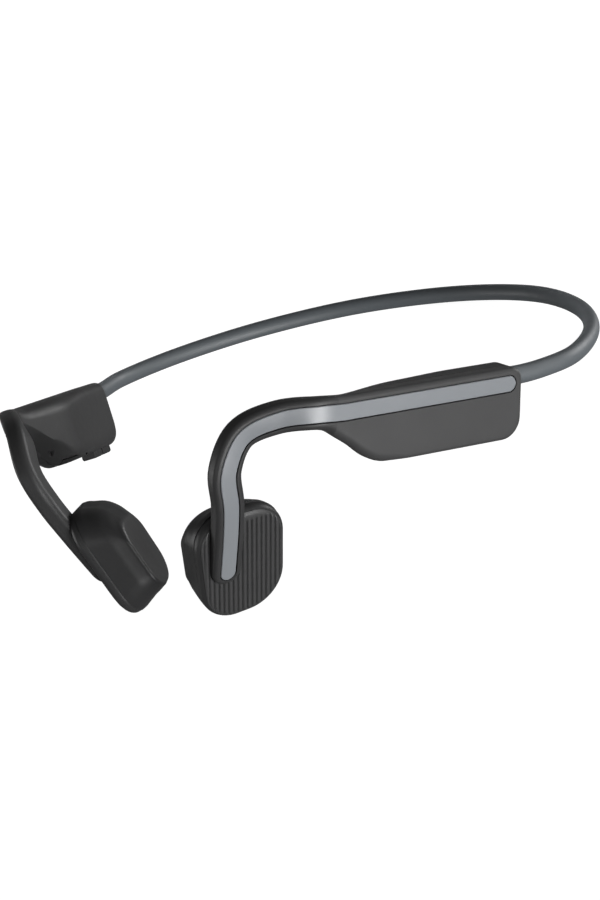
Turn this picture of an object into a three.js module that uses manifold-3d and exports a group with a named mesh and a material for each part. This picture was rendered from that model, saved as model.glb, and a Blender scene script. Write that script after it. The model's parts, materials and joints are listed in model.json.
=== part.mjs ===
// Bone conduction headphones: a sprung neckband joins two control pods, and an ear hook runs from
// each pod over the ear to a transducer that rests on the cheekbone.
//
// The shapes are drawn in the worn frame: millimetres, +X to the wearer's left, +Y to the back,
// +Z up, origin midway between the places where the neckband leaves the pods. Everything is drawn
// for the left side; the right side is its mirror image, with its own controls. At the end the
// whole object is pitched and dropped so that it lies on a table, on both transducers and on the
// back of the neckband.
import * as THREE from 'three';
import { mergeVertices } from 'three/addons/utils/BufferGeometryUtils.js';
import Module from 'manifold-3d';

const wasm = await Module();
wasm.setup();

// ---------------------------------------------------------------- driving dimensions
const GAP = 0.3;                       // clearance between neighbouring pieces

// Pod. Its local frame has x forward along the bottom edge, y up and z towards the head; the
// origin is the bottom rear corner of the outer face.
const POD_ORIGIN = [56.8, -12.5, -11.7];
const POD_TURN = { toeIn: 22.3, rise: 7.9, cant: 8.1 };
const POD_HEIGHT = 14.8;
const POD_THICK = 8.2;
const POD_SPLIT = 3.0;                 // depth of the outer shell
const POD_LENGTH = 44.4;
const POD_BOTTOM_RADIUS = 4.5;
const POD_TOP_RADIUS = 2.5;
const POD_SWEEP_START = 33.0;          // where the bottom edge starts to rise towards the hook
const POD_SWEEP_END = 49.7;
const POD_SWEEP_RISE = 8.5;
const POD_TAPER_START = 29.6;          // where the inner face starts to come in towards the hook
const POD_EDGE = 1.0;                  // fillet around the outer face
const POD_INNER_EDGE = 2.2;            // fillet around the inner face
const POD_WALL = 1.1;
const POD_FLOOR_WALL = 2.2;            // the wall that holds the buttons and the port
const CAVITY_START = 1.8;
const CAVITY_END = 38.2;
const CAVITY_DEPTH = 2.3;              // depth at which the hollow starts, behind the strip's groove

// Hook, strip and the two wires inside the hook
const HOOK_WIDTH = 6.2;
const HOOK_THICK = 3.8;
const HOOK_LINE = 11.65;               // height of the strip's centre line on the pod
const HOOK_BENDS = [
  [38.6, -55.4, 7.0], [33.1, -60.5, 7.8], [27.6, -65.4, 6.1], [24.5, -68.2, 0.0], [22.4, -66.8, -7.1],
];
const STRIP_WIDTH = 3.5;
const STRIP_THICK = 0.9;
const STRIP_REAR = 1.9;                // distance of the strip's rear end from the pod's rear edge
const WIRE_DEPTH = 2.5;                // depth of both wires below the hook's outer face
const WIRE_SPREAD = 1.35;
const HOOK_CORE_RADIUS = 0.6;
const HOOK_CABLE_RADIUS = 0.5;
const HOOK_EDGE = 1.2;                 // fillet along the hook
const WIRE_SIDES = 6;

// Transducer. Its local frame has x forward, y up along the strip and z towards the head; the
// origin is the middle of the ribbed face.
const PAD_ORIGIN = [18.0, -60.3, -20.9];
const PAD_TURN = { toeIn: 27.6, rise: 0.5, cant: 21.6 };
const PAD_CORNERS = [[-10.0, -12.9, 8.3], [7.6, -13.6, 7.3], [10.1, 11.6, 6.8], [-9.9, 10.8, 7.5]];
const STRIP_ON_PAD = 3.4;              // forward offset of the strip's line on the ribbed face
const HOOK_END = -3.9;                 // lower end of the hook on the ribbed face
const HOOK_PROUD = 2.2;                // how far the hook stands out from the ribbed face
const HOOK_END_PROUD = 1.0;            // and at its end
const PAD_SHELL_TOP = 0.7;
const PAD_SEAM = 2.1;                  // where the shell meets the soft pad
const PAD_TUB_INSET = 1.5;             // the shell's tub reaches into the pad inside the seam
const PAD_TUB_DEPTH = 4.0;
const PAD_TUB_WALL = 0.8;
const PAD_SHELL_WALL = 0.9;
const PLATE_FLANGE = 1.0;              // thickness of the ribbed plate's wide part
const PLATE_DEPTH = 2.0;               // depth of its narrow part
const PLATE_TRAVEL = 0.4;
const RIB_PITCH = 1.05;
const RIB_GROOVE = 0.4;
const RIB_DEPTH = 0.35;
const RIB_TOP = 8.6;
const RIB_BOTTOM = -14;
const RIB_REACH = 7 * RIB_PITCH;       // forward and back of the middle
// Sections of the soft pad: depth, scale along and up, shift along and up.
const PAD_LEVELS = [
  [PAD_SEAM + GAP, 1, 1, 0, 0],
  [4.2, 0.98, 0.962, 0.19, 0],
  [6.2, 0.958, 0.889, 0.32, -0.23],
  [7.8, 0.888, 0.807, 0.57, -0.87],
  [9.0, 0.793, 0.711, 1.07, -1.72],
  [9.7, 0.735, 0.655, 1.42, -2.2],
  [9.9, 0.69, 0.61, 1.5, -2.35],
];

// Driver, stacked on the axis of the pad's hollow. Each entry is a height above the ribbed face.
const DRIVER_CENTRE = [0.8, -1.4];
const DRIVER_BORE = 5.6;
const DRIVER_TOP = 8.7;
const YOKE = { radius: 5.2, wall: 0.7, floor: 0.7, from: 4.6, to: 7.7 };
const DRIVER_MAGNET = { radius: 2.8, from: 5.6, to: 7.4 };
const COIL = { inner: 3.2, outer: 4.2, from: 5.9, to: 7.8 };
const SPRING_PLATE = { radius: 5.2, from: 8.1, to: 8.4 };

// The rail across the shell carries the switch of the multifunction button
const RAIL_WIDTH = 2.4;
const SWITCH_STEM_AT = 2.9;            // height of the switch's stem on the ribbed face
const SWITCH_STEM_RADIUS = 0.5;
const SWITCH_STEM_TOP = 2.8;
const SWITCH_BODY = [[-1.5, 1.6, 2.75], [1.5, 4.2, 3.9]];

// Neckband
const BAND_WIDTH = 3.5;                // across, in plan
const BAND_HEIGHT = 3.9;
const BAND_ON_POD = [12.0, 4.3];       // height and depth at which it enters the pod
const BAND_INSIDE = 2.6;               // how far the sleeve reaches into the pod
const BAND_BENDS = [
  [58.2, -1.6, -0.1], [60.3, 7.6, -0.1], [56.1, 26.0, 0.6], [44.0, 45.1, 1.6], [24.9, 60.2, 2.3],
];
const BAND_BACK = [0, 66.3, 2.4];
const BAND_WIRE_OFFSET = 0.85;         // the core runs above the middle and the cable below it
const BAND_CORE_RADIUS = 0.45;
const BAND_CABLE_RADIUS = 0.5;
const BAND_CORE_END = 5.6;
const BAND_CABLE_END = 6.6;
const BAND_SIDES = 10;
const BAND_STEPS = 40;
const ANCHOR_BLOCK = [[3.2, 11.8, 3.0], [5.2, 13.3, 5.6]];

// Controls on the right pod
const BUTTON_SIZE = [5.6, 3.0];        // along the pod, and across its underside
const BUTTON_DEPTH = 5.3;
const BUTTON_AT = { volume_down_button: 8.8, volume_up_button: 15.0 };
const BUTTON_PROUD = 1.4;
const BUTTON_INSIDE = 1.8;
const PORT_CENTRE = [28.4, 5.3];       // along the pod, and depth
const PORT_SIZE = [8.94, 3.2];
const PORT_MOUTH = [8.34, 2.56];
const PORT_FRONT = 1.4;                // height of the receptacle's mouth above the underside
const PORT_LENGTH = 6.8;
const COVER_SIZE = [11.4, 4.0];
const COVER_THICK = 0.9;
const LIGHT_AT = 20.3;                 // between the buttons and the port
const LIGHT_RADIUS = 0.5;
const LIGHT_LENGTH = 3.8;
const LIGHT_MIDDLE = 1.95;
const MICROPHONE_HOLE = [37.6, 4.4];   // along the pod, and height
const MICROPHONE_HOLE_SIZE = [1.6, 1.0];
const RIDGES = 4;                      // on each volume button
const RIDGE_HEIGHT = 0.4;
const PORT_WALL = 0.8;                 // the receptacle's closed end
const TONGUE = [6.6, 0.7];
const TONGUE_BACK = 2;                 // from the mouth to the tongue's free end
const COVER_LIP = [7.4, 1.8];          // the part of the cover that fills the mouth
const COVER_CORNER = 1.6;

// Pieces inside the pods, each from its lowest to its highest corner
const POCKET = [[5, 3, POD_WALL], [33, HOOK_LINE - STRIP_WIDTH, CAVITY_DEPTH + GAP]];
const CELL = [[8, 2.7, 2.7], [31, 12.2, 6.4]];
const CELL_CORNER = 1;
const BATTERY_BOARD = [[32, 5.5, 2.7], [36.8, 12.6, 3.3]];
const MAIN_BOARD = [[6.5, 4.9, 2.7], [36.8, 12.9, 3.3]];
const BLUETOOTH_MODULE = [[9, 5.6, 3.6], [17, 12.4, 5.0]];
const AUDIO_AMPLIFIER = [[19, 6.6, 3.6], [22.5, 10.4, 4.6]];
const MICROPHONE = [[33.6, 8.2, 3.6], [36.0, 11.2, 4.4]];
const VOLUME_SWITCH = [3.6, 2.4];      // along the pod and across
const VOLUME_SWITCH_TOP = 4.4;

const TABLE_PITCH = 15.4;               // degrees, rear end down

// ---------------------------------------------------------------- colours and finishes
const finish = (color, roughness, metalness = 0) =>
  new THREE.MeshStandardMaterial({ color, roughness, metalness });
const CHARCOAL = finish(0x3b3b3c, 0.55);
const CHARCOAL_FLAT = finish(0x4a4a4b, 0.7);
const SILICONE = finish(0x2b2b2c, 0.75);
const SLATE = finish(0x8c959a, 0.45);
const BAND_SLATE = finish(0x6f7a80, 0.6);
const TITANIUM = finish(0xb0b2b6, 0.35, 1);
const COPPER = finish(0xb87333, 0.35, 1);
const STEEL = finish(0xa9adb2, 0.3, 1);
const MAGNET = finish(0x6d7076, 0.3, 1);
const CABLE = finish(0x1d1d1f, 0.6);
const BOARD = finish(0x14502f, 0.5);
const FOIL = finish(0xc3c7ca, 0.4, 0.6);
const LENS = finish(0xe6e6e0, 0.3);

// ---------------------------------------------------------------- helpers
const vector = (array) => new THREE.Vector3(...array);
const degrees = THREE.MathUtils.degToRad;
const smooth = (x, from, to) => THREE.MathUtils.smoothstep(x, from, to);

function solid(geometry) {
  const bare = geometry.clone();
  bare.deleteAttribute('normal');
  bare.deleteAttribute('uv');
  const merged = mergeVertices(bare, 1e-4);
  return new wasm.Manifold(new wasm.Mesh({
    numProp: 3,
    vertProperties: new Float32Array(merged.attributes.position.array),
    triVerts: new Uint32Array(merged.index.array),
  }));
}

function geometryOf(manifold) {
  const mesh = manifold.getMesh();
  const geometry = new THREE.BufferGeometry();
  geometry.setAttribute('position', new THREE.BufferAttribute(mesh.vertProperties, 3));
  geometry.setIndex(new THREE.BufferAttribute(mesh.triVerts, 1));
  geometry.computeVertexNormals();
  return geometry;
}

function cut(geometry, ...tools) {
  return geometryOf(tools.reduce((whole, tool) => whole.subtract(solid(tool)), solid(geometry)));
}

function join(geometry, ...others) {
  return geometryOf(others.reduce((whole, other) => whole.add(solid(other)), solid(geometry)));
}

// Six times the volume that the triangles enclose, negative if they face inwards.
function signedVolume(rings, index) {
  const points = rings.flat();
  let volume = 0;
  for (let i = 0; i < index.length; i += 3) {
    const [a, b, c] = [points[index[i]], points[index[i + 1]], points[index[i + 2]]];
    volume += a.clone().cross(b).dot(c);
  }
  return volume;
}

// A closed solid through rings of points that all have the same count. Each ring is convex.
function loft(rings) {
  const count = rings[0].length;
  const positions = [];
  const index = [];
  rings.forEach((ring) => ring.forEach((p) => positions.push(p.x, p.y, p.z)));
  for (let r = 0; r + 1 < rings.length; r += 1) {
    for (let i = 0; i < count; i += 1) {
      const a = r * count + i;
      const b = r * count + (i + 1) % count;
      index.push(a, b, b + count, a, b + count, a + count);
    }
  }
  const last = (rings.length - 1) * count;
  for (let i = 1; i + 1 < count; i += 1) {
    index.push(0, i + 1, i);
    index.push(last, last + i, last + i + 1);
  }
  if (signedVolume(rings, index) < 0) {
    index.reverse();
  }
  const geometry = new THREE.BufferGeometry();
  geometry.setAttribute('position', new THREE.Float32BufferAttribute(positions, 3));
  geometry.setIndex(index);
  geometry.computeVertexNormals();
  return geometry;
}

// Points around a polygon, [x, y, radius] at each corner, with an arc in place of each corner.
function roundedOutline(corners, steps) {
  const points = [];
  corners.forEach(([x, y, radius], i) => {
    const corner = new THREE.Vector2(x, y);
    const [bx, by] = corners[(i + corners.length - 1) % corners.length];
    const [ax, ay] = corners[(i + 1) % corners.length];
    const before = new THREE.Vector2(bx, by).sub(corner).normalize();
    const after = new THREE.Vector2(ax, ay).sub(corner).normalize();
    if (radius === 0) {
      points.push(corner);
      return;
    }
    const half = Math.acos(before.dot(after)) / 2;
    const middle = before.clone().add(after).normalize();
    const centre = corner.clone().addScaledVector(middle, radius / Math.sin(half));
    const start = corner.clone().addScaledVector(before, radius / Math.tan(half)).sub(centre).angle();
    const end = corner.clone().addScaledVector(after, radius / Math.tan(half)).sub(centre).angle();
    const sweep = end - start - 2 * Math.PI * Math.round((end - start) / (2 * Math.PI));
    for (let s = 0; s <= steps; s += 1) {
      const angle = start + sweep * s / steps;
      points.push(new THREE.Vector2(radius, 0).rotateAround(new THREE.Vector2(), angle).add(centre));
    }
  });
  return points;
}

function ellipse(width, height, sides, shift = 0) {
  return Array.from({ length: sides }, (_, i) => {
    const angle = 2 * Math.PI * (i + 0.5) / sides;
    return new THREE.Vector2(width / 2 * Math.cos(angle), shift + height / 2 * Math.sin(angle));
  });
}

// A box given by its lowest and highest corner.
function box(low, high) {
  const size = high.map((h, i) => h - low[i]);
  return new THREE.BoxGeometry(...size).translate(...low.map((l, i) => l + size[i] / 2));
}

function extrude(outline, from, to) {
  const shape = new THREE.Shape(outline);
  return new THREE.ExtrudeGeometry(shape, { depth: to - from, bevelEnabled: false }).translate(0, 0, from);
}

// A turned piece on the z axis, from [radius, z] pairs.
function turned(profile, sides = 16) {
  const points = profile.map(([r, z]) => new THREE.Vector2(r, z));
  return new THREE.LatheGeometry(points, sides).rotateX(Math.PI / 2);
}

const disc = (radius, from, to, sides) =>
  turned([[0, from], [radius, from], [radius, to], [0, to]], sides);

// A local frame with x forward, y up and z towards the head, seen from the left side.
function frameOf(origin, { toeIn, rise, cant }) {
  const forward = new THREE.Vector3(
    -Math.sin(degrees(toeIn)) * Math.cos(degrees(rise)),
    -Math.cos(degrees(toeIn)) * Math.cos(degrees(rise)),
    Math.sin(degrees(rise)),
  );
  const inward = forward.clone().cross(new THREE.Vector3(0, 0, 1)).normalize();
  const up = inward.clone().cross(forward).applyAxisAngle(forward, -degrees(cant));
  return new THREE.Matrix4().makeBasis(forward, up, forward.clone().cross(up)).setPosition(...origin);
}

const podFrame = frameOf(POD_ORIGIN, POD_TURN);
const padFrame = frameOf(PAD_ORIGIN, PAD_TURN);
const onPod = (x, y, z) => new THREE.Vector3(x, y, z).applyMatrix4(podFrame);
const onPad = (x, y, z) => new THREE.Vector3(x, y, z).applyMatrix4(padFrame);
const local = (geometry, frame) => geometry.clone().applyMatrix4(frame.clone().invert());

function piece(name, geometry, material) {
  const mesh = new THREE.Mesh(geometry, material);
  mesh.name = name;
  return mesh;
}

// ---------------------------------------------------------------- hook path
// The path is the middle line of the hook. It starts on the pod, runs along the strip's line and
// ends on the ribbed face.
const hookMiddle = HOOK_THICK / 2;
const hookPath = new THREE.CatmullRomCurve3([
  onPod(0, HOOK_LINE, hookMiddle),
  onPod(20, HOOK_LINE, hookMiddle),
  onPod(40, HOOK_LINE, hookMiddle),
  onPod(POD_LENGTH - 1, HOOK_LINE, hookMiddle),
  ...HOOK_BENDS.map(vector),
  onPad(STRIP_ON_PAD, 9, hookMiddle - HOOK_PROUD),
  onPad(STRIP_ON_PAD, 0, hookMiddle - HOOK_PROUD),
  onPad(STRIP_ON_PAD, HOOK_END, hookMiddle - HOOK_END_PROUD),
], false, 'centripetal');
hookPath.arcLengthDivisions = 800;
const hookLength = hookPath.getLength();
const podOut = onPod(0, 0, -1).sub(onPod(0, 0, 0));
const padOut = onPad(0, 0, -1).sub(onPad(0, 0, 0));

// The frame at a distance along the path: `out` faces away from the head, `across` points down on
// the pod and forward past the bend.
function hookFrame(distance) {
  const t = Math.min(distance / hookLength, 1);
  const point = hookPath.getPointAt(t);
  const along = hookPath.getTangentAt(t);
  const turn = smooth(distance, POD_LENGTH - 4, hookLength - 16);
  const out = podOut.clone().lerp(padOut, turn);
  out.addScaledVector(along, -out.dot(along)).normalize();
  return { point, out, across: out.clone().cross(along) };
}

// Sweeps a section along the path. The section is a list of [across, out] pairs for a distance.
function alongHook(distances, section) {
  return loft(distances.map((distance) => {
    const { point, out, across } = hookFrame(distance);
    return section(distance).map(([a, o]) =>
      point.clone().addScaledVector(across, a).addScaledVector(out, o));
  }));
}

function steps(from, to, count) {
  return Array.from({ length: count + 1 }, (_, i) => from + (to - from) * i / count);
}

// Distances from a half-round end, close together where the end is narrow.
const endArc = (radius) => [8, 32, 62].map((angle) => radius * (1 - Math.cos(degrees(angle))));

// Distances for a piece whose ends are half circles of the given radius.
function roundEnded(from, to, radius, count) {
  const arc = endArc(radius);
  return [...arc.map((d) => from + d), ...steps(from + radius, to - radius, count),
    ...arc.reverse().map((d) => to - d)];
}

// The half width of such a piece at a distance.
function roundEnd(distance, from, to, radius) {
  const left = Math.min(distance - from, to - distance, radius);
  return Math.sqrt(Math.max(radius ** 2 - (radius - left) ** 2, 0));
}

// How far the hook reaches below the strip's line: it carries on the sweep of the pod's lower edge.
function hookLower(distance) {
  const sweep = HOOK_LINE - podBottom(Math.max(distance, POD_BOTTOM_RADIUS));
  return Math.max(sweep, HOOK_WIDTH / 2);
}

function hookSection(upper, lower, thick, edge) {
  const half = thick / 2;
  return roundedOutline([[-upper, -half, edge], [lower, -half, edge], [lower, half, edge],
    [-upper, half, edge]], 2).map((p) => [p.x, p.y]);
}

function hookSolid(grow) {
  const width = HOOK_WIDTH / 2;
  const start = grow > 0 ? POD_LENGTH + 6 : POD_LENGTH + GAP;
  const distances = [...steps(start, hookLength - width, 20),
    ...endArc(width).reverse().map((d) => hookLength - d)];
  return alongHook(distances, (distance) => {
    const end = roundEnd(distance, -width, hookLength, width) / width;
    const lower = hookLower(distance) * end + grow;
    const upper = width * end + grow;
    return hookSection(upper, lower, HOOK_THICK + 2 * grow, Math.min(HOOK_EDGE, upper * 0.8));
  });
}

function stripSolid(grow) {
  const from = STRIP_REAR - grow;
  const to = hookLength - (HOOK_WIDTH - STRIP_WIDTH) / 2 + grow;
  const radius = STRIP_WIDTH / 2 + grow;
  const top = HOOK_THICK / 2 + (grow > 0 ? 1 : 0);
  const bottom = HOOK_THICK / 2 - STRIP_THICK - grow;
  return alongHook(roundEnded(from, to, radius, 26), (distance) => {
    const half = roundEnd(distance, from, to, radius);
    return [[-half, bottom], [half, bottom], [half, top], [-half, top]];
  });
}

function hookWire(radius, side, grow) {
  const end = hookLength - 5 + grow;
  const start = CAVITY_END + 1 - 3 * grow;
  const ring = ellipse(2 * (radius + grow), 2 * (radius + grow), WIRE_SIDES);
  const depth = HOOK_THICK / 2 - WIRE_DEPTH;
  return alongHook(steps(start, end, 18), () => ring.map((p) => [p.x + side * WIRE_SPREAD, p.y + depth]));
}

// ---------------------------------------------------------------- pod shells
function podBottom(x) {
  const corner = Math.max(POD_BOTTOM_RADIUS - x, 0);
  const arc = POD_BOTTOM_RADIUS - Math.sqrt(POD_BOTTOM_RADIUS ** 2 - corner ** 2);
  return arc + POD_SWEEP_RISE * smooth(x, POD_SWEEP_START, POD_SWEEP_END);
}

function podTop(x) {
  const corner = Math.max(POD_TOP_RADIUS - x, 0);
  return POD_HEIGHT - POD_TOP_RADIUS + Math.sqrt(POD_TOP_RADIUS ** 2 - corner ** 2);
}

function podDepth(x) {
  return POD_THICK - (POD_THICK - HOOK_THICK) * smooth(x, POD_TAPER_START, POD_LENGTH);
}

// Sections across the pod, from x to x, each a rectangle with its own edge fillets near and far.
function podLoft(stations, near, far, bottomInset, topInset, nearEdge, farEdge) {
  return loft(stations.map((x) => {
    const low = podBottom(x) + bottomInset;
    const high = podTop(x) - topInset;
    const depth = far(x);
    const outline = roundedOutline([[near, low, nearEdge], [depth, low, farEdge],
      [depth, high, farEdge], [near, high, nearEdge]], 2);
    return outline.map((p) => new THREE.Vector3(x, p.y, p.x));
  }));
}

const podStations = [0, 0.5, 1.3, 2.5, 4.5, 14, 24, ...steps(POD_TAPER_START, POD_LENGTH, 8)];

function podCavity() {
  const stations = [CAVITY_START, 2.5, 4.5, 20, POD_TAPER_START, 33, 36, CAVITY_END];
  const depth = (x) => podDepth(x) - POD_WALL;
  const main = podLoft(stations, CAVITY_DEPTH, depth, POD_FLOOR_WALL, POD_WALL, 0, 0);
  return join(main, box(...POCKET));
}

function podOuterShell(tools) {
  const block = podLoft(podStations, 0, () => POD_SPLIT, 0, 0, POD_EDGE, 0);
  return cut(block, ...tools);
}

function podInnerShell(tools) {
  const stations = podStations.map((x) => Math.min(x, POD_LENGTH - 0.4));
  const rings = stations.map((x) => {
    const depth = podDepth(x);
    const edge = Math.min(POD_INNER_EDGE, (depth - POD_SPLIT - GAP) * 0.8);
    const low = podBottom(x);
    const high = podTop(x);
    return roundedOutline([[POD_SPLIT + GAP, low, 0], [depth, low, edge], [depth, high, edge],
      [POD_SPLIT + GAP, high, 0]], 3).map((p) => new THREE.Vector3(x, p.y, p.x));
  });
  return cut(loft(rings), ...tools);
}

// ---------------------------------------------------------------- neckband
const bandInside = (distance) => onPod(distance, ...BAND_ON_POD);
const mirrored = (p) => new THREE.Vector3(-p.x, p.y, p.z);

// The middle line from inside the left pod to inside the right pod.
function bandPath(inside, lift) {
  const half = [bandInside(inside), bandInside(-3), ...BAND_BENDS.map(vector)];
  const whole = [...half, vector(BAND_BACK), ...half.map(mirrored).reverse()];
  return new THREE.CatmullRomCurve3(whole.map((p) => p.clone().setZ(p.z + lift)), false, 'centripetal');
}

function alongBand(path, sides, count, width, height) {
  const section = ellipse(width, height, sides);
  const up = new THREE.Vector3(0, 0, 1);
  return loft(steps(0, 1, count).map((t) => {
    const point = path.getPointAt(t);
    const along = path.getTangentAt(t);
    const across = up.clone().cross(along).normalize();
    const rise = along.clone().cross(across);
    return section.map((p) => point.clone().addScaledVector(across, p.x).addScaledVector(rise, p.y));
  }));
}

const bandWire = (inside, lift, radius) =>
  alongBand(bandPath(inside, lift), WIRE_SIDES, BAND_STEPS, 2 * radius, 2 * radius);

function neckband() {
  const sleeve = alongBand(bandPath(BAND_INSIDE, 0), BAND_SIDES, BAND_STEPS, BAND_WIDTH, BAND_HEIGHT);
  const coreBore = bandWire(BAND_INSIDE + 1, BAND_WIRE_OFFSET, BAND_CORE_RADIUS + GAP);
  const cableBore = bandWire(BAND_INSIDE + 1, -BAND_WIRE_OFFSET, BAND_CABLE_RADIUS + GAP);
  const band = new THREE.Group();
  band.add(
    piece('neckband_sleeve', cut(sleeve, coreBore, cableBore), BAND_SLATE),
    piece('neckband_core', bandWire(BAND_CORE_END, BAND_WIRE_OFFSET, BAND_CORE_RADIUS), TITANIUM),
    piece('neckband_cable', bandWire(BAND_CABLE_END, -BAND_WIRE_OFFSET, BAND_CABLE_RADIUS), CABLE),
  );
  return band;
}

// The hole in the pod's rear wall for the sleeve.
function bandHole() {
  const path = bandPath(BAND_INSIDE + 1, 0);
  return alongBand(path, BAND_SIDES, BAND_STEPS, BAND_WIDTH + 2 * GAP, BAND_HEIGHT + 2 * GAP);
}

// A crimp block in the pod that holds the end of the neckband's core.
function bandAnchor() {
  const bore = bandWire(BAND_CORE_END + 1, BAND_WIRE_OFFSET, BAND_CORE_RADIUS + GAP);
  return cut(box(...ANCHOR_BLOCK), local(bore, podFrame));
}

// ---------------------------------------------------------------- transducer
const padOutline = (inset, stepCount) => roundedOutline(PAD_CORNERS.map(([x, y, radius]) =>
  [x - Math.sign(x) * inset, y - Math.sign(y) * inset, radius - inset]), stepCount);

// An extruded slab of the transducer's outline, drawn in by an inset.
const padSlab = (inset, from, to) => extrude(padOutline(inset, 4), from, to);

// A rim with the full outline, a narrower tub below it and a rail across the tub.
function padShell(hookRoom) {
  const rim = padSlab(0, PAD_SHELL_TOP, PAD_SEAM);
  const tub = padSlab(PAD_TUB_INSET, PAD_SHELL_TOP, PAD_TUB_DEPTH);
  const recess = padSlab(PAD_SHELL_WALL, PAD_SHELL_TOP - 1, PLATE_FLANGE + PLATE_TRAVEL);
  const well = padSlab(PAD_TUB_INSET + PAD_TUB_WALL, PAD_SHELL_TOP - 1, PAD_TUB_DEPTH + 1);
  const block = padSlab(PAD_TUB_INSET, PLATE_DEPTH + PLATE_TRAVEL + GAP, PAD_TUB_DEPTH);
  const [reach] = PAD_CORNERS[2];
  const slot = box([-reach, -RAIL_WIDTH / 2, 0], [reach, RAIL_WIDTH / 2, PAD_TUB_DEPTH]);
  const rail = geometryOf(solid(block).intersect(solid(slot)));
  return cut(join(cut(join(rim, tub), recess, well), rail), hookRoom);
}

// The ribbed plate: the multifunction button on the left, a fixed cover on the right.
function ribbedPlate(hookRoom) {
  const face = padSlab(PAD_SHELL_WALL + GAP, 0, PLATE_FLANGE);
  const foot = padSlab(PAD_TUB_INSET + PAD_TUB_WALL + GAP, PLATE_FLANGE / 2, PLATE_DEPTH);
  const grooves = steps(-RIB_REACH, RIB_REACH, 2 * RIB_REACH / RIB_PITCH).map((x) =>
    box([x - RIB_GROOVE / 2, RIB_BOTTOM, -1], [x + RIB_GROOVE / 2, RIB_TOP, RIB_DEPTH]));
  return cut(join(face, foot), ...grooves, hookRoom);
}

function contactPad() {
  const outline = padOutline(0, 4);
  const rings = PAD_LEVELS.map(([z, along, up, shiftAlong, shiftUp]) =>
    outline.map((p) => new THREE.Vector3(p.x * along + shiftAlong, p.y * up + shiftUp, z)));
  const socket = padSlab(PAD_TUB_INSET - GAP, PAD_SEAM - 1, PAD_TUB_DEPTH + GAP);
  const hollow = disc(DRIVER_BORE, PAD_TUB_DEPTH - 1, DRIVER_TOP).translate(...DRIVER_CENTRE, 0);
  return cut(loft(rings), socket, hollow);
}

// Coil and magnet in a steel cup, with the spring plate that passes the vibration to the pad.
function driverPieces(side) {
  const { radius, wall, floor, from, to } = YOKE;
  const cup = turned([[0, from], [radius, from], [radius, to], [radius - wall, to],
    [radius - wall, from + floor], [0, from + floor]]);
  const magnet = disc(DRIVER_MAGNET.radius, DRIVER_MAGNET.from, DRIVER_MAGNET.to);
  const coil = turned([[COIL.inner, COIL.from], [COIL.outer, COIL.from], [COIL.outer, COIL.to],
    [COIL.inner, COIL.to], [COIL.inner, COIL.from]]);
  const spring = disc(SPRING_PLATE.radius, SPRING_PLATE.from, SPRING_PLATE.to);
  const driver = new THREE.Group();
  driver.position.set(...DRIVER_CENTRE, 0);
  driver.add(
    piece(`${side}_driver_yoke`, cup, STEEL),
    piece(`${side}_driver_magnet`, magnet, MAGNET),
    piece(`${side}_voice_coil`, coil, COPPER),
    piece(`${side}_spring_plate`, spring, STEEL),
  );
  return driver;
}

// ---------------------------------------------------------------- controls and electronics
function leftElectronics() {
  const [[rear, low, near], [front, high, far]] = CELL;
  const outline = roundedOutline([[rear, low, CELL_CORNER], [front, low, CELL_CORNER],
    [front, high, CELL_CORNER], [rear, high, CELL_CORNER]], 2);
  return [
    piece('battery_cell', extrude(outline, near, far), FOIL),
    piece('battery_board', box(...BATTERY_BOARD), BOARD),
  ];
}

// A tact switch on the shell's rail, with a stem that stops just short of the pressed plate.
function buttonSwitch() {
  const tip = PLATE_DEPTH + PLATE_TRAVEL + 0.1;
  const stem = disc(SWITCH_STEM_RADIUS, tip, SWITCH_STEM_TOP, 10).translate(0, SWITCH_STEM_AT, 0);
  return piece('multifunction_switch', join(box(...SWITCH_BODY), stem), STEEL);
}

const [buttonLong, buttonWide] = BUTTON_SIZE;

// A cap with ridges across its proud end.
function volumeButton(centre) {
  const rear = centre - buttonLong / 2;
  const front = centre + buttonLong / 2;
  const ridge = buttonLong / (2 * RIDGES - 1);
  const crest = -BUTTON_PROUD;
  const valley = crest + RIDGE_HEIGHT;
  const outline = [[rear, BUTTON_INSIDE]];
  for (let i = 0; i < RIDGES; i += 1) {
    const x = rear + 2 * i * ridge;
    if (i > 0) {
      outline.push([x, valley]);
    }
    outline.push([x, crest], [x + ridge, crest]);
    if (i + 1 < RIDGES) {
      outline.push([x + ridge, valley]);
    }
  }
  outline.push([front, BUTTON_INSIDE]);
  const low = BUTTON_DEPTH - buttonWide / 2;
  return extrude(outline.map(([x, y]) => new THREE.Vector2(x, y)), low, low + buttonWide);
}

function buttonHole(centre) {
  const half = buttonLong / 2 + GAP;
  return box([centre - half, -1, BUTTON_DEPTH - buttonWide / 2 - GAP],
    [centre + half, POD_FLOOR_WALL + 1, BUTTON_DEPTH + buttonWide / 2 + GAP]);
}

function volumeSwitch(centre) {
  const [long, wide] = VOLUME_SWITCH;
  const gap = 0.6;                     // more than the button's travel
  return box([centre - long / 2, BUTTON_INSIDE + gap, BUTTON_DEPTH - wide / 2],
    [centre + long / 2, VOLUME_SWITCH_TOP, BUTTON_DEPTH + wide / 2]);
}

// A box around the port's axis, given its size along and across the pod and its two heights.
function portBox([long, wide], from, to) {
  const [x, z] = PORT_CENTRE;
  return box([x - long / 2, from, z - wide / 2], [x + long / 2, to, z + wide / 2]);
}

function receptacle() {
  const top = PORT_FRONT + PORT_LENGTH;
  const tongue = portBox(TONGUE, PORT_FRONT + TONGUE_BACK, top - PORT_WALL / 2);
  const mouth = portBox(PORT_MOUTH, PORT_FRONT - 1, top - PORT_WALL);
  return join(cut(portBox(PORT_SIZE, PORT_FRONT, top), mouth), tongue);
}

function portRoom() {
  const clear = (size) => size.map((side) => side + 2 * GAP);
  return [portBox(clear(PORT_SIZE), -1, PORT_FRONT + PORT_LENGTH + GAP),
    portBox(clear(COVER_SIZE), -1, COVER_THICK + GAP)];
}

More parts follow.
